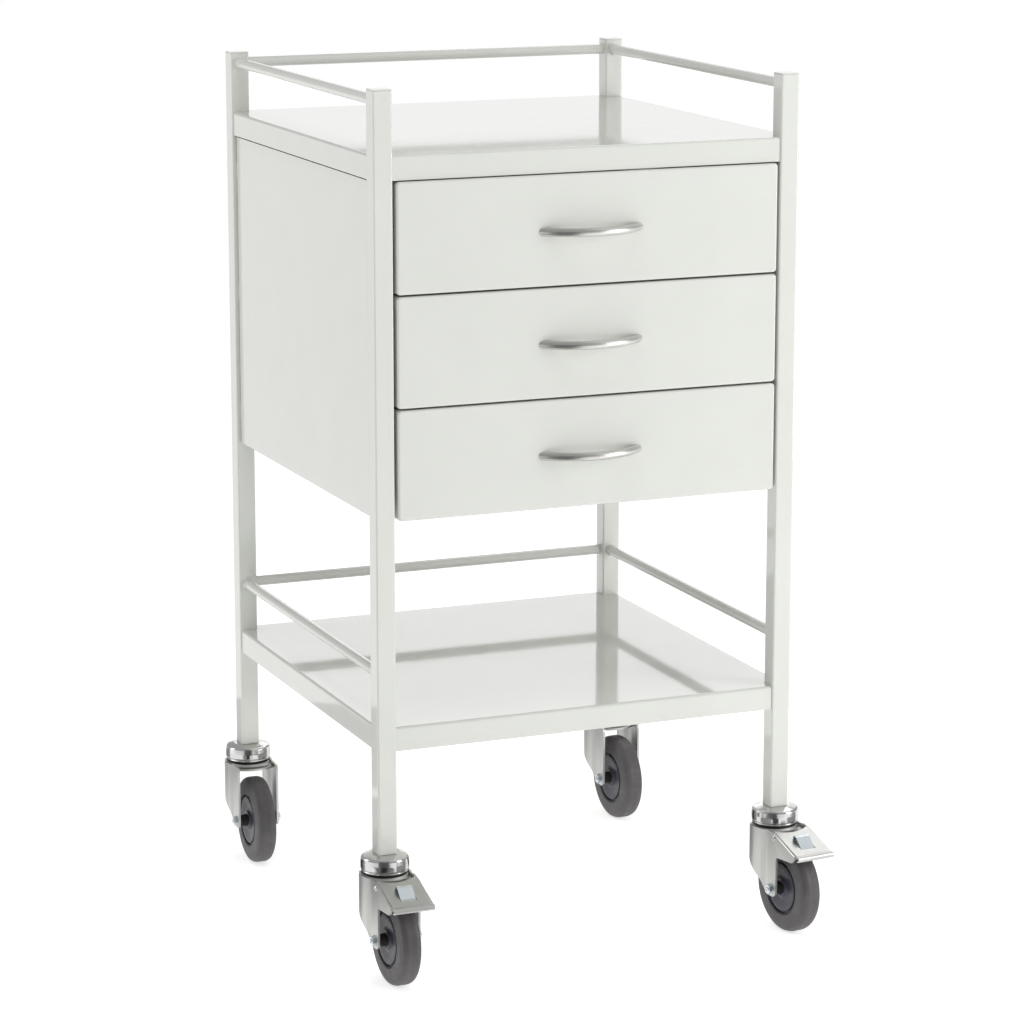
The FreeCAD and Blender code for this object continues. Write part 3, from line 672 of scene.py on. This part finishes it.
def make_pedal_plate():
    """Tread plate with a square window, an ear folded down at each side and a bowed back edge."""
    columns = plate_columns()
    xs = [x for x, _ in columns]
    stations = BACK_SHARES + FRONT_REACHES
    rows = []
    for number, station in enumerate(stations):
        row = []
        for x, share in columns:
            start = math.sqrt(PEDAL_NOTCH ** 2 - x ** 2)
            at_back = number < len(BACK_SHARES)
            reach = start + (WINDOW[0] - start) * station if at_back else station
            if share is None:
                drop = bend_drop(x)
            else:
                drop = PEDAL_BEND + share * max(0.0, ear_depth(reach) - PEDAL_BEND)
            row.append((x, -reach, plate_height(reach) - drop))
        rows.append(row)
    low, high = stations.index(WINDOW[0]), stations.index(WINDOW[1])
    left, right = xs.index(-WINDOW_HALF), xs.index(WINDOW_HALF)
    return grid(rows, skip=lambda r, c: low <= r < high and left <= c < right)


def add_pedal_rivets(name, place):
    """The two rivets that the pedal turns on, at the joint's place."""
    pivot = JOINTS[f"pedal_{name}_press"]["pos_m"]
    swivel = JOINTS[f"caster_{name}_swivel"]["pos_m"]
    reach = math.hypot(pivot[0] - swivel[0], pivot[1] - swivel[1]) / MM
    centre = (0, -reach, pivot[2] / MM)
    rivets = bmesh.new()
    for side in (-1, 1):
        lathe(mirrored(RIVET, side), "X", centre, RIVET_STEPS, rivets)
        shank = shank_profile(RIVET_SHANK, side * RIVET_ENDS[0], side * RIVET_ENDS[1])
        lathe(shank, "X", centre, PIN_STEPS, rivets)
    add_piece("pedal_rivets_" + name, rivets, "caster_" + name, "zinc_steel", ["pedal_pivots_" + name],
              place)


def add_pedal(name, place):
    body = "pedal_" + name
    add_piece("pedal_plate_" + name, make_pedal_plate(), body, "fork_zinc", ["brake_pedal_" + name], place,
              sheet=PEDAL_SHEET, soft=PEDAL_SOFT)
    lip = strip(rounded(LIP, closed=False, steps=LIP_STEPS), LIP_HALF)
    add_piece("pedal_lip_" + name, lip, body, "fork_zinc", place=place, sheet=LIP_SHEET, side=0,
              soft=PEDAL_SOFT)
    tab = strip(rounded(TAB, closed=False), TAB_HALF)
    add_piece("pedal_catch_" + name, tab, body, "zinc_steel", place=place, sheet=TAB_SHEET, side=0,
              soft=TAB_SOFT)
    shoe = prism(rounded(SHOE), -SHOE_HALF, SHOE_HALF)
    add_piece("pedal_shoe_" + name, shoe, body, "fork_zinc", place=place, soft=PEDAL_SOFT)
    add_pedal_rivets(name, place)


def add_swivel_heads():
    caps, seals = bmesh.new(), bmesh.new()
    for name in CASTERS:
        x, y, _ = JOINTS[f"caster_{name}_swivel"]["pos_m"]
        centre = (x / MM, y / MM, 0)
        lathe(mirrored(CAP, 1), "Z", centre, LARGE_STEPS, caps)
        lathe(mirrored(SEAL, 1), "Z", centre, LARGE_STEPS, seals)
    add_piece("swivel_cap_shells", caps, "frame", "chrome", ["swivel_caps"])
    add_piece("swivel_seal_rings", seals, "frame", "black_rubber", ["swivel_seals"])


# ---- handles and rails ----

# Bow handle: the bar's radius, and half the chord and the reach of the arc along its middle.
HANDLE_BAR = 4.75
HANDLE_HALF_CHORD = 55.0
HANDLE_REACH = 22.0
HANDLE_SOFT = 0.7
BAR_STEPS = 64
BAR_SIDES = 32

# The bar is drawn longer than the bow by this factor, and cut off at the drawer's face.
BAR_EXCESS = 1.02


def add_handle(drawer):
    """Round bar bent to a bow, cut off where it meets the drawer front."""
    low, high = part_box("drawer_handle_" + drawer)
    face = high.y / MM
    height = (low.z + high.z) / 2 / MM
    radius = (HANDLE_HALF_CHORD ** 2 + HANDLE_REACH ** 2) / (2 * HANDLE_REACH)
    middle = face - HANDLE_REACH + radius
    half_angle = math.asin((HANDLE_HALF_CHORD + HANDLE_BAR) / radius) * BAR_EXCESS
    shape = bmesh.new()
    rings = []
    for step in range(BAR_STEPS + 1):
        angle = half_angle * (2 * step / BAR_STEPS - 1)
        outward = Vector((math.sin(angle), -math.cos(angle), 0))
        ring = []
        for side in range(BAR_SIDES):
            turn = 2 * math.pi * side / BAR_SIDES
            point = outward * (radius + HANDLE_BAR * math.cos(turn))
            point += Vector((0, middle, height + HANDLE_BAR * math.sin(turn)))
            ring.append(shape.verts.new(point))
        rings.append(ring)
    for first, second in zip(rings, rings[1:]):
        for side in range(BAR_SIDES):
            after = (side + 1) % BAR_SIDES
            shape.faces.new((first[side], first[after], second[after], second[side]))
    shape.faces.new(rings[0])
    shape.faces.new(rings[-1])
    bmesh.ops.bisect_plane(shape, geom=shape.verts[:] + shape.edges[:] + shape.faces[:], clear_outer=True,
                           plane_co=(0, face, 0), plane_no=(0, 1, 0))
    rim = [edge for edge in shape.edges if edge.is_boundary]
    bmesh.ops.holes_fill(shape, edges=rim)
    add_piece("handle_bow_" + drawer, shape, "drawer_" + drawer, "satin_nickel",
              ["drawer_handle_" + drawer], soft=HANDLE_SOFT, steps=FINE_SOFT_STEPS)


# Weld beads: hollow fillets from a foot on the post, with a short edge, to the rail. They start
# a little inside the rail.
RAIL_RADIUS = 6.0
WELD_RADIUS = 7.4
WELD_LENGTH = 1.8
WELD_EDGE = 0.15
WELD_DEPTH = 0.5
WELD_STEPS = 4
WELD_SIDES = 40


def add_rail_welds(level):
    """Small fillet of weld round each end of the rails, under the paint."""
    shape = bmesh.new()
    inside = RAIL_RADIUS - WELD_DEPTH
    curve = [(inside, 0.0), (WELD_RADIUS, 0.0)]
    for step in range(WELD_STEPS + 1):
        angle = math.pi / 2 * step / WELD_STEPS
        drop = (WELD_RADIUS - RAIL_RADIUS) * math.sin(angle)
        curve.append((WELD_RADIUS - drop, WELD_LENGTH * (1 - math.cos(angle)) + WELD_EDGE))
    curve.append((inside, WELD_LENGTH + WELD_EDGE))
    for side, axis in (("back", "X"), ("left", "Y"), ("right", "Y")):
        low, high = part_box(f"{level}_rail_{side}")
        middle = (low + high) / 2 / MM
        index = "XYZ".index(axis)
        for end, inward in ((low, 1), (high, -1)):
            centre = middle.copy()
            centre[index] = end[index] / MM
            bead = [(radius, inward * along) for radius, along in curve]
            lathe(bead, axis, centre, WELD_SIDES, shape)
    add_piece(f"{level}_rail_welds", shape, "frame", "white_powder_coat")


# ---- studio, in metres ----

# Camera: angles in degrees, lens and sensor in millimetres.
CAMERA_PLACE = (-1.559, -3.785, 1.356)
CAMERA_YAW = 22.36
CAMERA_PITCH = -12.32
CAMERA_LENS = 127.3
SENSOR = 36.0

FLOOR_HALF = 120.0
FLOOR_GLOW = 0.60
WORLD_STRENGTH = 0.45
WHITE = (1, 1, 1, 1)

# Soft lights: name, place, target, size, power in watts, and whether reflections show it.
LIGHTS = [
    ("key", (1.9, -1.7, 0.9), (0.1, -0.1, 0.5), (0.9, 1.7), 28, True),
    ("side", (-2.2, 1.0, 0.9), (-0.1, 0.1, 0.5), (0.9, 1.7), 8.5, True),
    ("above", (-0.3, -0.5, 2.5), (0.0, 0.0, 0.6), (1.2, 1.2), 9.5, False),
]

# Cards that stand for the studio's bright and dark sides: name, centre, target, size and glow.
CARDS = [
    ("bright_far", (1.75, 3.2, 1.3), (1.75, 0.0, 1.3), (2.8, 2.6), 1.1),
    ("bright_near", (0.5, 1.2, 0.66), (0.5, 0.0, 0.66), (0.95, 0.38), 1.6),
    ("sky", (1.15, -0.75, 2.3), (0.2, -0.25, 0.1), (1.7, 1.7), 0.85),
    ("bright_top", (1.35, 1.15, 2.1), (0.25, -0.25, 0.1), (1.3, 1.3), 2.6),
    ("dark_side", (-0.75, -1.45, 0.65), (0.0, 0.0, 0.65), (1.3, 1.3), 0.1),
    ("dark_ground", (-0.62, -0.95, 0.005), (-0.62, -0.95, 1.0), (1.1, 1.1), 0.13),
]

# Low cards round each caster, at a reach and height: angle from the camera's side, width and glow.
FOOT_REACH = 0.31
FOOT_HEIGHT = 0.11
FOOT_CARDS = [(0, 0.15, 0.0), (84, 0.34, 0.3), (-122, 0.26, 0.3)]


def add_stage_mesh(name, shape, material):
    mesh = bpy.data.meshes.new(name)
    shape.to_mesh(mesh)
    shape.free()
    mesh.materials.append(material)
    item = bpy.data.objects.new(name, mesh)
    bpy.context.scene.collection.objects.link(item)
    return item


def add_floor():
    shape = bmesh.new()
    bmesh.ops.create_grid(shape, x_segments=1, y_segments=1, size=FLOOR_HALF)
    pale, shade = (0.9, 0.9, 0.9), (0.89, 0.89, 0.89)
    material, tree, shader = new_material("floor_white", pale, 0.0, 0.9)
    tone = mix_colours(tree, spread(tree, noise(tree, 400, detail=2), 0, 1), shade, pale)
    tree.links.new(tone, shader.inputs["Base Color"])
    shader.inputs["Emission Color"].default_value = WHITE
    shader.inputs["Emission Strength"].default_value = FLOOR_GLOW
    add_stage_mesh("floor", shape, material)


def add_card(name, centre, target, size, glow):
    """Card that faces a target and that only reflections see: a dark or a bright side of the studio."""
    shape = bmesh.new()
    turn = (Vector(target) - Vector(centre)).to_track_quat("Z", "Y").to_matrix().to_4x4()
    turn.translation = centre
    x, y = size[0] / 2, size[1] / 2
    corners = [(-x, -y, 0), (x, -y, 0), (x, y, 0), (-x, y, 0)]
    shape.faces.new([shape.verts.new(turn @ Vector(corner)) for corner in corners])
    material, _, shader = new_material(name, (0.015, 0.015, 0.015), 0.0, 0.9)
    shader.inputs["Emission Color"].default_value = WHITE
    shader.inputs["Emission Strength"].default_value = glow
    card = add_stage_mesh(name, shape, material)
    card.visible_camera = False
    card.visible_diffuse = False
    card.visible_shadow = False


def add_foot_cards(name):
    """Low cards round a caster, which its chrome cap reflects."""
    x, y, _ = JOINTS[f"caster_{name}_swivel"]["pos_m"]
    for number, (angle, width, glow) in enumerate(FOOT_CARDS):
        turn = math.radians(angle - CAMERA_YAW)
        centre = (x + FOOT_REACH * math.sin(turn), y - FOOT_REACH * math.cos(turn), FOOT_HEIGHT / 2)
        target = (x, y, FOOT_HEIGHT / 2)
        add_card(f"foot_card_{name}_{number}", centre, target, (width, FOOT_HEIGHT), glow)


def add_area(name, place, target, size, power, glossy):
    light = bpy.data.lights.new(name, "AREA")
    light.shape = "RECTANGLE"
    light.size, light.size_y = size
    light.energy = power
    item = bpy.data.objects.new(name, light)
    item.location = place
    item.rotation_euler = (Vector(target) - Vector(place)).to_track_quat("-Z", "Y").to_euler()
    item.visible_camera = False
    item.visible_glossy = glossy
    bpy.context.scene.collection.objects.link(item)


def add_world():
    world = bpy.data.worlds.new("studio")
    world.use_nodes = True
    background = world.node_tree.nodes["Background"]
    background.inputs["Color"].default_value = WHITE
    background.inputs["Strength"].default_value = WORLD_STRENGTH
    bpy.context.scene.world = world


def add_camera():
    data = bpy.data.cameras.new("camera")
    data.lens = CAMERA_LENS
    data.sensor_width = SENSOR
    camera = bpy.data.objects.new("camera", data)
    camera.location = CAMERA_PLACE
    camera.rotation_euler = (math.radians(90 + CAMERA_PITCH), 0, math.radians(-CAMERA_YAW))
    bpy.context.scene.collection.objects.link(camera)
    bpy.context.scene.camera = camera


def add_studio():
    bpy.context.scene.view_settings.view_transform = "Standard"
    add_floor()
    add_world()
    for light in LIGHTS:
        add_area(*light)
    for card in CARDS:
        add_card(*card)
    for name in CASTERS:
        add_foot_cards(name)
    add_camera()


# ---- the whole trolley ----

# How much the edges of the CAD nodes that keep their shape are rounded, by the start of a node's name.
SOFT_EDGES = {
    "post_": 0.5, "upper_rail": 0.3, "lower_rail": 0.3, "top_tray": 0.4, "lower_shelf": 0.4,
    "side_panel": 0.4, "back_panel": 0.4, "runner_brackets": 0.25, "outer_runners": 0.25,
    "caster_stems": 0.4, "swivel_bearings": 0.25, "drawer_front": 0.35, "drawer_box": 0.3,
    "handle_screws": 0.4, "inner_runners": 0.25, "middle_runners": 0.25,
}


def add_caster(name):
    place = caster_place(name)
    add_fork(name, place)
    add_wheel(name, place)
    add_axle(name, place)
    if name in BRAKED:
        add_pedal(name, place)


def soften_nodes():
    for node in sorted(SLOTS):
        for start, soft in SOFT_EDGES.items():
            if node.startswith(start):
                soften(node, soft)


def paint_nodes():
    """Gives every CAD mesh the material of its slot."""
    for node, slot in SLOTS.items():
        materials = frame["nodes"][node].data.materials
        materials.clear()
        materials.append(MATERIALS[slot])


MATERIALS = make_materials()
for name in CASTERS:
    add_caster(name)
add_swivel_heads()
for drawer in DRAWERS:
    add_handle(drawer)
for level in ("upper", "lower"):
    add_rail_welds(level)
soften_nodes()
paint_nodes()
add_studio()
